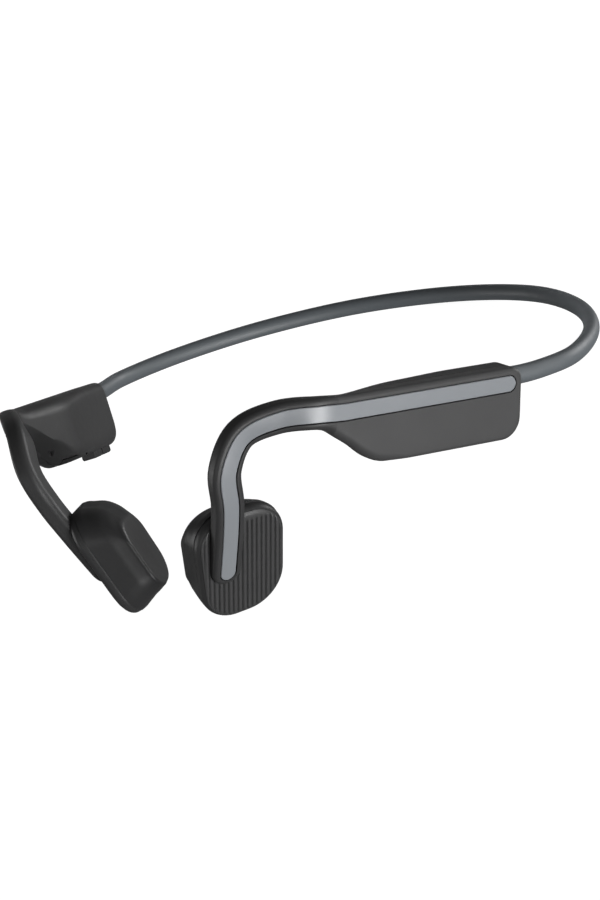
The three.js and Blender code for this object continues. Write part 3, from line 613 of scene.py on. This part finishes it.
def transducer_shell(side):
    """The rigid shell, from the floor of the plate's well over the rim to the seat of the pad."""
    well = PLATE_INSET - RIM_GAP
    insets = well - well * np.sin(np.radians(np.linspace(0, 90, 8)))
    profile = [(PLATE_INSET + 1, WELL_FLOOR), (well, WELL_FLOOR)]
    profile += [(well, rim_depth(PLATE_INSET) + RIM_GAP)]
    profile += [(i, float(rim_depth(i))) for i in insets]
    profile += [(0, 1.8), (0, PAD_SEAM + 0.02), (0.03, PAD_SEAM + 0.05), (0.2, PAD_SEAM + 0.06),
                (1.2, PAD_SEAM + 0.1)]
    rows = [ring(pad_outline(inset=i), z) for i, z in profile]
    piece = make(f"{side}_transducer_body", np.vstack(rows), capped_faces(len(rows), OUTLINE_POINTS), side)
    clean(piece)
    shade(piece, 50)
    return piece


def contact_pad(side):
    """The soft pad: a smooth skin through its sections, closed by the flat contact face."""
    levels = np.array(PAD_LEVELS)
    steps = np.hypot(np.diff(levels[:, 0]), PAD_REACH * np.diff(levels[:, 2]))
    travel = np.concatenate([[0], np.cumsum(steps)])
    fine = np.linspace(0, travel[-1], 44)
    values = np.stack([smooth_through(travel, levels[:, i], fine) for i in range(5)], -1)
    outline = pad_outline()
    seat = ((1.2, 0.12), (0.12, 0.08))      # insets, and heights above the seam
    rows = [ring(pad_outline(inset=inset), PAD_SEAM + height) for inset, height in seat]
    for z, along, up, shift_along, shift_up in values:
        rows.append(ring(outline * (along, up) + (shift_along, shift_up), z))
    z, along, up, shift_along, shift_up = levels[-1]
    for share in (0.9, 0.75, 0.55, 0.3, 0.08):
        crown = CONTACT_CROWN * (1 - share ** 2)
        rows.append(ring(outline * (along, up) * share + (shift_along, shift_up), z + crown))
    piece = make(f"{side}_soft_pad", np.vstack(rows), capped_faces(len(rows), OUTLINE_POINTS), side)
    clean(piece)
    shade(piece, 60)
    return piece


def smooth_through(x, y, at):
    """A monotone cubic through points."""
    slope = np.diff(y) / np.diff(x)
    same = slope[:-1] * slope[1:] > 0
    inner = np.where(same, 2 * slope[:-1] * slope[1:] / np.where(same, slope[:-1] + slope[1:], 1), 0)
    m = np.concatenate([[slope[0]], inner, [slope[-1]]])
    i = np.clip(np.searchsorted(x, at, side="right") - 1, 0, len(x) - 2)
    h = x[i + 1] - x[i]
    t = (at - x[i]) / h
    return ((2 * t ** 3 - 3 * t ** 2 + 1) * y[i] + (t ** 3 - 2 * t ** 2 + t) * h * m[i]
            + (3 * t ** 2 - 2 * t ** 3) * y[i + 1] + (t ** 3 - t ** 2) * h * m[i + 1])


def inside_by(points, outline):
    """Distance of points inside a convex outline from its nearest side."""
    a = outline
    b = np.roll(outline, -1, axis=0)
    edge = unit(b - a)
    normal = np.stack([-edge[:, 1], edge[:, 0]], -1)
    signed = np.einsum("pk,ek->pe", points, normal) - (a * normal).sum(-1)
    if np.median(signed) < 0:
        signed = -signed
    return signed.min(axis=1)


def ribbed_plate(name, side):
    """The ribbed face: soft upright ribs that fade out at the top and around the rim."""
    outline = pad_outline(PLATE_POINTS)
    border = pad_outline(PLATE_POINTS, PLATE_INSET)
    low_x, high_x = border[:, 0].min() + 0.02, border[:, 0].max() - 0.02
    step = RIB_PITCH / 10
    first, last = math.ceil((low_x - RIB_CENTRE) / step), math.floor((high_x - RIB_CENTRE) / step)
    xs = np.array([low_x, *(RIB_CENTRE + step * np.arange(first, last + 1)), high_x])
    loop = np.vstack([border, border[:1]])
    columns = []
    for x in xs:
        a, b = loop[:-1], loop[1:]
        hit = (a[:, 0] - x) * (b[:, 0] - x) <= 0
        t = (x - a[hit, 0]) / np.where(b[hit, 0] == a[hit, 0], 1, b[hit, 0] - a[hit, 0])
        y = a[hit, 1] + t * (b[hit, 1] - a[hit, 1])
        share = (1 - np.cos(np.linspace(0, math.pi, PLATE_ROWS))) / 2
        share = 0.5 * share + 0.5 * np.linspace(0, 1, PLATE_ROWS)
        upright = y.min() + (y.max() - y.min()) * share
        columns.append(np.column_stack([np.full(PLATE_ROWS, x), upright]))
    flat = np.vstack(columns)
    inset = inside_by(flat, outline)
    place = (flat[:, 0] - RIB_CENTRE) / RIB_PITCH
    ribs = np.sqrt(1 - 3.8 * (place - np.round(place)) ** 2)
    strength = smooth(inset, 0.55, 1.3) * (1 - smooth(flat[:, 1], RIB_TOP - 0.7, RIB_TOP + 0.3))
    level = rim_depth(inset) + RIB_DEPTH * strength * (1 - ribs)
    front = PAD.out(np.column_stack([flat, level]))
    back = PAD.out(np.column_stack([flat, np.full(len(flat), PLATE_BACK)]))
    return slab(name, front, back, len(xs), PLATE_ROWS, side)


def hook_room(side):
    """The lower end of the hook with a little clearance, to cut from the plate."""
    places = [s for s in body_stations() if s > HOOK.length - HOOK_OVER_PLATE]
    rows = body_points(places, HOOK_CLEARANCE)
    return make("hook_room", np.vstack(rows), capped_faces(len(rows), len(rows[0])), side)


# ---------------------------------------------------------------- holes and controls of the pods
def rounded(centre, size, radius, steps=6):
    """A rounded rectangle, counter-clockwise."""
    radius = min(radius, size[0] / 2 - 0.01, size[1] / 2 - 0.01)
    half = np.array(size) / 2 - radius
    points = []
    for k, sign in enumerate(((1, 1), (-1, 1), (-1, -1), (1, -1))):
        angle = math.pi / 2 * (k + np.linspace(0, 1, steps + 1))
        arc = np.stack([np.cos(angle), np.sin(angle)], -1) * radius
        points.append(np.array(centre) + half * sign + arc)
    return np.vstack(points)


def straight(low, high):
    """The levels of a prism with straight walls."""
    return (low, 0), (high, 0)


def prism(name, outline, levels, normal, side):
    """A prism in the pod's frame, through levels of depth and inset. It is square to y (normal 1)
    or to z (normal 2)."""
    rows = []
    for level, inset in levels:
        centre = outline.mean(axis=0)
        reach = np.abs(outline - centre).max(axis=0)
        flat = centre + (outline - centre) * (1 - inset / reach)
        third = np.full(len(flat), level)
        parts = (flat[:, 0], third, flat[:, 1]) if normal == 1 else (flat[:, 0], flat[:, 1], third)
        rows.append(POD.out(np.column_stack(parts)))
    faces = capped_faces(len(rows), len(outline))
    return make(name, np.vstack(rows), faces, side, [1] * len(faces))


def side_profile(inset):
    """The pod's side view from the hook along the bottom, round the rear end and back."""
    start, end, rise = POD_SWEEP
    bottom = [(x, inset + rise * float(smooth(x, start, end)))
              for x in np.linspace(POD_LENGTH + 1.5, POD_BOTTOM_RADIUS, 24)]
    low, top = POD_BOTTOM_RADIUS, POD_TOP_RADIUS
    rear = [(low - (low - inset) * math.sin(a), low - (low - inset) * math.cos(a))
            for a in np.radians(np.linspace(6, 90, 12))]
    rear += [(top - (top - inset) * math.cos(a), POD_HEIGHT - top + (top - inset) * math.sin(a))
             for a in np.radians(np.linspace(0, 84, 10))]
    back = [(x, POD_HEIGHT - inset) for x in np.linspace(top, POD_LENGTH + 1.5, 12)]
    return np.array(bottom + rear + back)


def seam(side):
    """A fine groove where the pod's outer and inner shells meet."""
    near, far = side_profile(-SEAM_OUT), side_profile(SEAM_DEEP)
    low, high = POD_SPLIT - SEAM_HALF, POD_SPLIT + SEAM_HALF
    rows = []
    for outline, level in ((near, low), (far, low), (far, high), (near, high)):
        rows.append(POD.out(np.column_stack([outline, np.full(len(outline), level)])))
    points = np.stack(rows, axis=1).reshape(-1, 3)
    faces = capped_faces(len(near), 4)
    return make("seam", points, faces, side, [1] * len(faces))


def grown(size, by):
    return size[0] + 2 * by, size[1] + 2 * by


def pod_holes(side):
    tools = [seam(side)]
    if side == "left":
        return tools
    for at in BUTTONS.values():
        outline = rounded((at, BUTTON_DEPTH), grown(BUTTON_SIZE, BUTTON_GAP), BUTTON_HOLE[0])
        tools.append(prism("button_hole", outline, straight(OUTSIDE, BUTTON_HOLE[1]), 1, side))
    recess = rounded(PORT_AT, grown(COVER_SIZE, COVER_GAP), COVER_RECESS[0])
    tools.append(prism("cover_recess", recess, straight(OUTSIDE, COVER_RECESS[1]), 1, side))
    room = rounded(PORT_AT, grown(PORT_SIZE, PORT_GAP), PORT_ROOM[0])
    tools.append(prism("port_room", room, straight(PORT_ROOM_FROM, PORT_ROOM[1]), 1, side))
    light = rounded(LIGHT_AT, (LIGHT_SIZE, LIGHT_SIZE), LIGHT_SIZE / 2)
    tools.append(prism("light_hole", light, straight(OUTSIDE, LIGHT_DEEP), 1, side))
    microphone = rounded(MICROPHONE_AT, MICROPHONE_SIZE, MICROPHONE_CORNER)
    hole = straight(MICROPHONE_FROM, MICROPHONE_TO)
    tools.append(prism("microphone_hole", microphone, hole, 2, side))
    return tools


def volume_button(name, at):
    """A rubber cap with soft ridges across its proud end."""
    columns, rows = 57, 15
    long, wide = BUTTON_SIZE
    spread = np.linspace(-1, 1, columns)
    across = np.linspace(-1, 1, rows)
    x, z = np.meshgrid(spread * long / 2, across * wide / 2, indexing="ij")
    edge = np.minimum(long / 2 - np.abs(x), wide / 2 - np.abs(z))
    left = np.clip(BUTTON_EDGE - edge, 0, BUTTON_EDGE)
    fall = BUTTON_EDGE - np.sqrt(BUTTON_EDGE ** 2 - left ** 2)
    ridges = 0.5 - 0.5 * np.cos(2 * math.pi * BUTTON_WAVES * (x / long + 0.5))
    level = -BUTTON_PROUD + fall + BUTTON_WAVE_DEEP * (1 - ridges) * smooth(edge, 0.1, 0.4)
    front = np.stack([x + at, level, z + BUTTON_DEPTH], -1).reshape(-1, 3)
    back = front.copy()
    back[:, 1] = BUTTON_INSIDE
    piece = slab(name, POD.out(front), POD.out(back), columns, rows, "right")
    shade(piece, 40)
    return piece


def port_cover():
    """A soft flap that follows the pod's skin, with a plug that fills the port's mouth."""
    centre = (PORT_AT[0] + COVER_SHORT / 2, PORT_AT[1])
    plan = rounded(centre, (COVER_SIZE[0] - COVER_SHORT, COVER_SIZE[1]), COVER_CORNER, 8)
    flap = prism("port_cover_flap", plan, COVER_LEVELS, 1, "right")
    clean(flap)
    rows = body_points([s for s in body_stations() if s > 15])
    skin = make("skin", np.vstack(rows), capped_faces(len(rows), len(rows[0])), "right")
    combine(flap, "INTERSECT", skin)
    lip = rounded(PORT_AT, COVER_LIP, LIP_CORNER, 8)
    combine(flap, "UNION", prism("lip", lip, LIP_LEVELS, 1, "right"))
    shade(flap, 40)
    return flap


def softened(node, name):
    """A copy of a CAD node with its edges rounded."""
    piece = bpy.data.objects.new(name, frame["nodes"][node].data.copy())
    piece.data.materials.clear()
    bpy.context.scene.collection.objects.link(piece)
    clean(piece)
    flat = piece.modifiers.new("flat", "DECIMATE")
    flat.decimate_type = "DISSOLVE"
    flat.angle_limit = math.radians(1)
    bevel = piece.modifiers.new("bevel", "BEVEL")
    bevel.width = SOFT_EDGE * MM
    bevel.segments = 3
    bevel.limit_method = "ANGLE"
    bevel.angle_limit = math.radians(40)
    apply_modifiers(piece)
    shade(piece, 40)
    return piece


def split(body, parts):
    """Cuts the tagged skin into its pieces. They keep the normals of the whole, so no seam shows."""
    mesh = body.data
    shade(body)
    corner = np.zeros(len(mesh.loops) * 3, np.float32)
    mesh.corner_normals.foreach_get("vector", corner)
    corner = corner.reshape(-1, 3)
    pieces = {}
    for tag, name in parts.items():
        chosen = [p for p in mesh.polygons if p.material_index == tag]
        used = sorted({v for p in chosen for v in p.vertices})
        place = {v: i for i, v in enumerate(used)}
        part = bpy.data.meshes.new(name)
        part.from_pydata([mesh.vertices[v].co[:] for v in used], [],
                         [[place[v] for v in p.vertices] for p in chosen])
        part.shade_smooth()
        part.normals_split_custom_set([tuple(corner[i]) for p in chosen for i in p.loop_indices])
        pieces[tag] = bpy.data.objects.new(name, part)
        bpy.context.scene.collection.objects.link(pieces[tag])
    bpy.data.objects.remove(body)
    return pieces


# ---------------------------------------------------------------- materials
WEAR = 0.06                             # how much the roughness varies either way


def material(name, colour, roughness, grain=0.0, texture=3200.0, tint=0.08, metal=0.0, level=0.5):
    """A moulded or painted surface: fine grain, a faint mottle in colour, and uneven gloss."""
    made = bpy.data.materials.new(name)
    made.use_nodes = True
    nodes, links = made.node_tree.nodes, made.node_tree.links
    shader = nodes["Principled BSDF"]
    shader.inputs["Metallic"].default_value = metal
    shader.inputs["Specular IOR Level"].default_value = level
    place = nodes.new("ShaderNodeTexCoord")

    def noise(scale, detail):
        found = nodes.new("ShaderNodeTexNoise")
        found.inputs["Scale"].default_value = scale
        found.inputs["Detail"].default_value = detail
        links.new(place.outputs["Object"], found.inputs["Vector"])
        return found

    mottle = noise(160, 4)
    blend = nodes.new("ShaderNodeMix")
    blend.data_type = "RGBA"
    blend.inputs["A"].default_value = (*[c * (1 - tint) for c in colour], 1)
    blend.inputs["B"].default_value = (*[min(c * (1 + tint), 1) for c in colour], 1)
    links.new(mottle.outputs["Fac"], blend.inputs["Factor"])
    links.new(blend.outputs["Result"], shader.inputs["Base Color"])
    gloss = nodes.new("ShaderNodeMapRange")
    gloss.inputs["To Min"].default_value = roughness - WEAR
    gloss.inputs["To Max"].default_value = roughness + WEAR
    links.new(noise(420, 3).outputs["Fac"], gloss.inputs["Value"])
    links.new(gloss.outputs["Result"], shader.inputs["Roughness"])
    if grain:
        bump = nodes.new("ShaderNodeBump")
        bump.inputs["Strength"].default_value = grain
        bump.inputs["Distance"].default_value = 0.00004
        links.new(noise(texture, 2).outputs["Fac"], bump.inputs["Height"])
        links.new(bump.outputs["Normal"], shader.inputs["Normal"])
    return made


FINISHES = {
    "outer_shell_plastic": dict(colour=(0.043, 0.043, 0.0435), roughness=0.46, grain=0.3, level=0.2),
    "dark_plastic": dict(colour=(0.028, 0.028, 0.0285), roughness=0.42, grain=0.25, level=0.25),
    "ribbed_plastic": dict(colour=(0.032, 0.032, 0.0325), roughness=0.42, grain=0.25, level=0.35),
    "pad_silicone": dict(colour=(0.022, 0.022, 0.0225), roughness=0.38, grain=0.15, level=0.35),
    "button_silicone": dict(colour=(0.012, 0.012, 0.0125), roughness=0.5, grain=0.25),
    "strip_paint": dict(colour=(0.17, 0.18, 0.192), roughness=0.32, grain=0.08, tint=0.03),
    "band_silicone": dict(colour=(0.072, 0.081, 0.088), roughness=0.5, grain=0.05, tint=0.05),
    "cable_jacket": dict(colour=(0.012, 0.012, 0.014), roughness=0.5),
    "titanium": dict(colour=(0.45, 0.44, 0.43), roughness=0.34, metal=1, grain=0.2),
    "steel": dict(colour=(0.5, 0.51, 0.53), roughness=0.28, metal=1, grain=0.1),
    "magnet": dict(colour=(0.55, 0.55, 0.56), roughness=0.2, metal=1),
    "copper": dict(colour=(0.65, 0.25, 0.1), roughness=0.32, metal=1, grain=0.5, texture=5200),
    "circuit_board": dict(colour=(0.01, 0.09, 0.035), roughness=0.35, tint=0.2),
    "foil": dict(colour=(0.6, 0.61, 0.63), roughness=0.3, metal=1, grain=0.6, texture=900),
    "chip": dict(colour=(0.014, 0.014, 0.016), roughness=0.45, grain=0.3),
    "lens": dict(colour=(0.75, 0.75, 0.71), roughness=0.25),
}
LOOKS = {name: material(name, **values) for name, values in FINISHES.items()}


# ---------------------------------------------------------------- putting it together
def build_side(side):
    body_name = f"{side}_side"
    whole = side_body(side)
    combine(whole, "DIFFERENCE", *pod_holes(side))
    names = {OUTER: f"{side}_outer_shell", INNER: f"{side}_inner_shell", HOOK_PART: f"{side}_hook"}
    pieces = split(whole, names)
    finish(pieces[OUTER], body_name, "outer_shell_plastic", f"{side}_pod_outer_shell")
    finish(pieces[INNER], body_name, "dark_plastic", f"{side}_pod_inner_shell")
    finish(pieces[HOOK_PART], body_name, "dark_plastic", f"{side}_ear_hook")
    finish(strip(side), body_name, "strip_paint", f"{side}_strip")
    finish(transducer_shell(side), body_name, "dark_plastic", f"{side}_transducer_shell")
    pad = finish(contact_pad(side), body_name, "pad_silicone", f"{side}_contact_pad")
    plate = ribbed_plate(f"{side}_ribbed_plate", side)
    combine(plate, "DIFFERENCE", hook_room(side))
    clean(plate)
    shade(plate, 50)
    if side == "left":
        finish(plate, "multifunction_button", "ribbed_plastic", "multifunction_button")
    else:
        finish(plate, body_name, "ribbed_plastic", "right_ribbed_cover")


def build_band():
    sleeve = Band(BAND_INSIDE, 0)
    for side in ("left", "right"):
        half = sleeve.tube(f"{side}_band_half", side, BAND_WIDTH, BAND_HEIGHT, 240, 40)
        open_back(half)
        shade(half, 50)
        finish(half, None, "band_silicone", "neckband_sleeve")
        bend_with(half, side)
        for node, (lift, radius, inside) in BAND_WIRES.items():
            wire = Band(inside, lift).tube(f"{side}_{node}_half", side, 2 * radius, 2 * radius, 120, 14)
            open_back(wire)
            shade(wire, 50)
            look = "titanium" if node == "neckband_core" else "cable_jacket"
            finish(wire, None, look, node)
            bend_with(wire, side)


def build_controls():
    for name, at in BUTTONS.items():
        finish(volume_button(f"{name}_cap", at), name, "button_silicone", name)
    finish(port_cover(), "port_cover", "button_silicone", "port_cover")
    shell = softened("usb_c_receptacle", "usb_c_receptacle_shell")
    finish(shell, "right_side", "steel", "usb_c_receptacle")


def dress_frame():
    """The CAD nodes that still show get their materials."""
    slots = {part["node"]: part["material_slot"] for part in frame["record"]["subparts"]}
    for node, piece in frame["nodes"].items():
        for place in piece.material_slots:
            place.material = LOOKS[slots[node]]


dress_frame()
for side in ("left", "right"):
    build_side(side)
build_band()
build_controls()


# ---------------------------------------------------------------- stage, lights and camera
def plain_material(name, colour, strength=0.0):
    made = bpy.data.materials.new(name)
    made.use_nodes = True
    shader = made.node_tree.nodes["Principled BSDF"]
    shader.inputs["Base Color"].default_value = (*colour, 1)
    shader.inputs["Roughness"].default_value = 0.9
    shader.inputs["Specular IOR Level"].default_value = 0.0
    if strength:
        shader.inputs["Emission Color"].default_value = (1, 1, 1, 1)
        shader.inputs["Emission Strength"].default_value = strength
    return made


def build_floor():
    """A sheet of paper that is flat under the object and rises far away, as a studio sweep does."""
    radii = np.array([*FLOOR_FLAT * np.array([0.001, 1]), *np.linspace(FLOOR_FLAT, FLOOR_EDGE, 24)[1:]])
    rise = FLOOR_RISE * smooth(radii, FLOOR_FLAT, FLOOR_EDGE)
    angle = np.linspace(0, 2 * math.pi, FLOOR_SIDES, endpoint=False)
    circle = np.stack([np.cos(angle), np.sin(angle)], -1)
    rings = [np.column_stack([circle * r, np.full(FLOOR_SIDES, z)]) for r, z in zip(radii, rise)]
    faces = [f[::-1] for f in capped_faces(len(radii), FLOOR_SIDES)[:-1]]
    mesh = bpy.data.meshes.new("floor")
    mesh.from_pydata(np.vstack(rings).tolist(), [], faces)
    mesh.shade_smooth()
    floor = bpy.data.objects.new("floor", mesh)
    floor.data.materials.append(plain_material("floor_paper", (0.3, 0.3, 0.3), 0.95))
    floor.visible_diffuse = False
    floor.visible_glossy = False
    floor.visible_shadow = False        # the light below it shines through
    bpy.context.scene.collection.objects.link(floor)


def soft_box(name, place, aim, size, power):
    light = bpy.data.lights.new(name, "AREA")
    light.shape = "RECTANGLE"
    light.size, light.size_y = size
    light.energy = power
    lamp = bpy.data.objects.new(name, light)
    lamp.location = place
    lamp.rotation_mode = "QUATERNION"
    lamp.rotation_quaternion = (Vector(aim) - Vector(place)).to_track_quat("-Z", "Y")
    bpy.context.scene.collection.objects.link(lamp)
    return lamp


def build_lights():
    world = bpy.data.worlds.new("studio")
    world.use_nodes = True
    world.node_tree.nodes["Background"].inputs["Color"].default_value = (1, 1, 1, 1)
    world.node_tree.nodes["Background"].inputs["Strength"].default_value = WORLD_LIGHT
    bpy.context.scene.world = world
    for name, (place, size, power) in SOFT_BOXES.items():
        lamp = soft_box(name, place, AIM, size, power)
        lamp.visible_glossy = name != "rear"


def build_camera():
    right = pitched(CAMERA_RIGHT)
    up = pitched(CAMERA_UP)
    back = np.cross(right, up)
    lens = bpy.data.cameras.new("camera")
    lens.lens = CAMERA_LENS
    lens.sensor_width = 36
    lens.clip_start, lens.clip_end = 0.01, 50
    camera = bpy.data.objects.new("camera", lens)
    axes = np.column_stack([right, up, back])
    place = row(CAMERA_AT)
    camera.matrix_world = Matrix([[*axes[i], float(place[i])] for i in range(3)] + [[0, 0, 0, 1]])
    bpy.context.scene.collection.objects.link(camera)
    bpy.context.scene.camera = camera


build_floor()
build_lights()
build_camera()
bpy.context.scene.view_settings.view_transform = "Standard"
